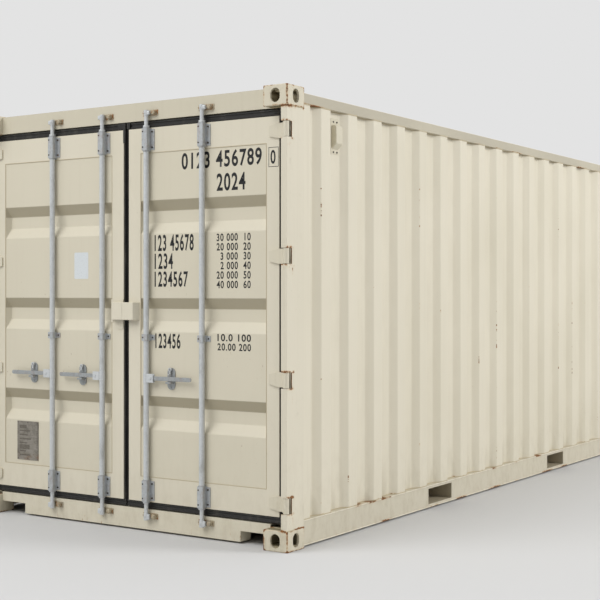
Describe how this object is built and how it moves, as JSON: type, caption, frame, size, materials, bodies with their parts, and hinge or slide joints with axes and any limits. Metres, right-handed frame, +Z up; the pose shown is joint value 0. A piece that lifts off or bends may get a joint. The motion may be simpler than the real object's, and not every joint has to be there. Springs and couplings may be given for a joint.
{
  "type": "twenty-foot steel cargo container with double doors",
  "caption": "Closed steel box for cargo with corrugated walls, hinged double doors, locking bars, fork pockets and cast corner fittings.",
  "frame": {"origin": "middle of the footprint, on the ground", "axes": "+X from the doors to the closed end, +Y from the right-hand side to the left-hand side as seen facing the doors, +Z up"},
  "size_m": [6.058, 2.438, 2.591],
  "materials": {
    "cream_paint": "satin",
    "cast_steel": "satin",
    "underfloor_steel": "satin",
    "galvanised_gear": "satin",
    "seal_rubber": "matte",
    "floor_plywood": "satin",
    "vent_plastic": "matte",
    "plate_metal": "satin"
  },
  "bodies": {
    "root": {"bottom_side_rail_left": "cream_paint", "bottom_side_rail_right": "cream_paint", "cam_keepers": "galvanised_gear", "casting_door_left_high": "cast_steel", "casting_door_left_low": "cast_steel", "casting_door_right_high": "cast_steel", "casting_door_right_low": "cast_steel", "casting_front_left_high": "cast_steel", "casting_front_left_low": "cast_steel", "casting_front_right_high": "cast_steel", "casting_front_right_low": "cast_steel", "door_header": "cream_paint", "door_post_left": "cream_paint", "door_post_right": "cream_paint", "door_sill": "cream_paint", "floor_beams": "underfloor_steel", "floor_boards": "floor_plywood", "fork_mouths_left": "cream_paint", "fork_mouths_right": "cream_paint", "fork_pockets": "cream_paint", "front_bottom_rail": "cream_paint", "front_post_left": "cream_paint", "front_post_right": "cream_paint", "front_top_rail": "cream_paint", "front_wall": "cream_paint", "roof": "cream_paint", "side_wall_left": "cream_paint", "side_wall_right": "cream_paint", "top_side_rails": "cream_paint", "vents": "vent_plastic"},
    "door_right": {"door_right_frame": "cream_paint", "door_right_panel": "cream_paint", "door_right_seal": "seal_rubber", "door_right_hinge_blades": "cream_paint", "door_right_bar_straps": "galvanised_gear", "lock_box_right": "cream_paint", "handle_keep_right": "galvanised_gear"},
    "door_left": {"door_left_frame": "cream_paint", "door_left_panel": "cream_paint", "door_left_seal": "seal_rubber", "door_left_hinge_blades": "cream_paint", "door_left_bar_straps": "galvanised_gear", "lock_box_left": "cream_paint", "data_plate": "plate_metal", "handle_keeps_left": "galvanised_gear"},
    "bar_right_outer": {"lock_bar_right_outer": "galvanised_gear"},
    "bar_right_inner": {"lock_bar_right_inner": "galvanised_gear"},
    "bar_left_inner": {"lock_bar_left_inner": "galvanised_gear"},
    "bar_left_outer": {"lock_bar_left_outer": "galvanised_gear"},
    "lever_right_inner": {"handle_right_inner": "galvanised_gear"},
    "finger_right_inner": {"catch_right_inner": "galvanised_gear"},
    "lever_left_inner": {"handle_left_inner": "galvanised_gear"},
    "finger_left_inner": {"catch_left_inner": "galvanised_gear"},
    "lever_left_outer": {"handle_left_outer": "galvanised_gear"},
    "finger_left_outer": {"catch_left_outer": "galvanised_gear"}
  },
  "joints": [
    {"name": "door_right_hinge", "type": "hinge", "parent": "root", "child": "door_right", "pos_m": [-3.01, -1.2, 1.3], "axis": [0, 0, 1], "range_deg": [0, 270]},
    {"name": "door_left_hinge", "type": "hinge", "parent": "root", "child": "door_left", "pos_m": [-3.01, 1.2, 1.3], "axis": [0, 0, -1], "range_deg": [0, 270]},
    {"name": "bar_right_outer_turn", "type": "hinge", "parent": "door_right", "child": "bar_right_outer", "pos_m": [-2.976, -0.592, 0.925], "axis": [0, 0, 1], "range_deg": [-110, 0]},
    {"name": "bar_right_inner_turn", "type": "hinge", "parent": "door_right", "child": "bar_right_inner", "pos_m": [-2.976, -0.175, 0.925], "axis": [0, 0, 1], "range_deg": [-110, 0]},
    {"name": "bar_left_inner_turn", "type": "hinge", "parent": "door_left", "child": "bar_left_inner", "pos_m": [-2.976, 0.175, 0.925], "axis": [0, 0, -1], "range_deg": [-110, 0]},
    {"name": "bar_left_outer_turn", "type": "hinge", "parent": "door_left", "child": "bar_left_outer", "pos_m": [-2.976, 0.592, 0.925], "axis": [0, 0, -1], "range_deg": [-110, 0]},
    {"name": "handle_right_inner_lift", "type": "hinge", "parent": "bar_right_inner", "child": "lever_right_inner", "pos_m": [-2.984, -0.219, 0.925], "axis": [1, 0, 0], "range_deg": [-10, 0]},
    {"name": "catch_right_inner_swing", "type": "hinge", "parent": "door_right", "child": "finger_right_inner", "pos_m": [-2.973, -0.351, 0.9805], "axis": [-1, 0, 0], "range_deg": [-90, 0]},
    {"name": "handle_left_inner_lift", "type": "hinge", "parent": "bar_left_inner", "child": "lever_left_inner", "pos_m": [-2.984, 0.219, 0.925], "axis": [-1, 0, 0], "range_deg": [-10, 0]},
    {"name": "catch_left_inner_swing", "type": "hinge", "parent": "door_left", "child": "finger_left_inner", "pos_m": [-2.973, 0.351, 0.9805], "axis": [1, 0, 0], "range_deg": [-90, 0]},
    {"name": "handle_left_outer_lift", "type": "hinge", "parent": "bar_left_outer", "child": "lever_left_outer", "pos_m": [-2.984, 0.636, 0.925], "axis": [-1, 0, 0], "range_deg": [-10, 0]},
    {"name": "catch_left_outer_swing", "type": "hinge", "parent": "door_left", "child": "finger_left_outer", "pos_m": [-2.973, 0.768, 0.9805], "axis": [1, 0, 0], "range_deg": [-90, 0]}
  ],
  "couplings": [
    {"joint": "catch_right_inner_swing", "follows": "handle_right_inner_lift", "ratio": 9},
    {"joint": "catch_left_inner_swing", "follows": "handle_left_inner_lift", "ratio": 9},
    {"joint": "catch_left_outer_swing", "follows": "handle_left_outer_lift", "ratio": 9}
  ]
}
